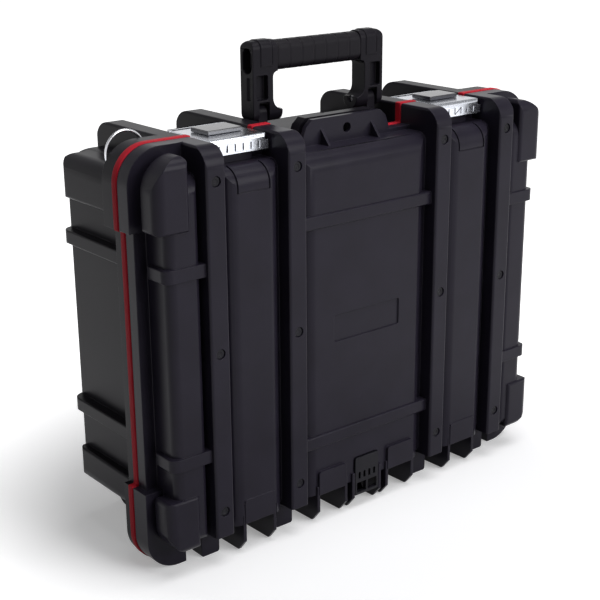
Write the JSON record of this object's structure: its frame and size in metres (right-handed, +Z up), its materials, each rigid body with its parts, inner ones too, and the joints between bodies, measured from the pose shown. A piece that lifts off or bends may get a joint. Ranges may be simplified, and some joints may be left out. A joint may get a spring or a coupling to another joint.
{
  "type": "hard tool case",
  "caption": "Black moulded two-half tool case standing on its hinge side, with a red seal line, metal clasps, rib bands, corner bumpers, strap rings and a folding bail handle.",
  "frame": {"origin": "middle of the case's bounding box, on the floor that it stands on", "axes": "+X to the right along the case's width, -Y towards the front of the lid, +Z up from the hinge side to the handle"},
  "size_m": [0.4816, 0.173, 0.4548],
  "materials": {
    "base_plastic": "moulded, fine texture",
    "lid_plastic": "moulded, fine texture",
    "seal_rubber": "matt",
    "pin_steel": "drawn",
    "plug_plastic": "moulded",
    "clasp_metal": "satin",
    "pad_plastic": "gloss",
    "grip_rubber": "matt",
    "ring_steel": "bright drawn wire"
  },
  "bodies": {
    "base": {"base_shell": "base_plastic", "seal": "seal_rubber", "hinge_pin_1": "pin_steel", "hinge_pin_2": "pin_steel", "hinge_pin_3": "pin_steel", "hinge_pin_4": "pin_steel", "hinge_pin_5": "pin_steel", "clasp_pin_left": "pin_steel", "clasp_pin_right": "pin_steel", "handle_pin_left": "pin_steel", "handle_pin_right": "pin_steel"},
    "lid": {"lid_shell": "lid_plastic", "rib_plugs": "plug_plastic", "centre_clip": "plug_plastic"},
    "clasp_left": {"clasp_plate_left": "clasp_metal", "clasp_pad_left": "pad_plastic"},
    "clasp_right": {"clasp_plate_right": "clasp_metal", "clasp_pad_right": "pad_plastic"},
    "handle": {"handle_bail": "base_plastic", "handle_grip": "grip_rubber"},
    "ring_left": {"strap_ring_left": "ring_steel"},
    "ring_right": {"strap_ring_right": "ring_steel"}
  },
  "joints": [
    {"name": "lid_hinge", "type": "hinge", "parent": "base", "child": "lid", "pos_m": [0, -0.032, 0.006], "axis": [1, 0, 0], "range_deg": [0, 95]},
    {"name": "clasp_left_hinge", "type": "hinge", "parent": "base", "child": "clasp_left", "pos_m": [-0.13275, 0.001, 0.3804], "axis": [-1, 0, 0], "range_deg": [0, 110]},
    {"name": "clasp_right_hinge", "type": "hinge", "parent": "base", "child": "clasp_right", "pos_m": [0.13275, 0.001, 0.3804], "axis": [-1, 0, 0], "range_deg": [0, 110]},
    {"name": "handle_hinge", "type": "hinge", "parent": "base", "child": "handle", "pos_m": [0, -0.0007, 0.389], "axis": [-1, 0, 0], "range_deg": [0, 90]},
    {"name": "ring_left_hinge", "type": "hinge", "parent": "base", "child": "ring_left", "pos_m": [-0.2135, -0.008, 0.3637], "axis": [-1, 0, 0], "range_deg": [0, 80]},
    {"name": "ring_right_hinge", "type": "hinge", "parent": "base", "child": "ring_right", "pos_m": [0.2135, -0.008, 0.3637], "axis": [1, 0, 0], "range_deg": [0, 80]}
  ]
}
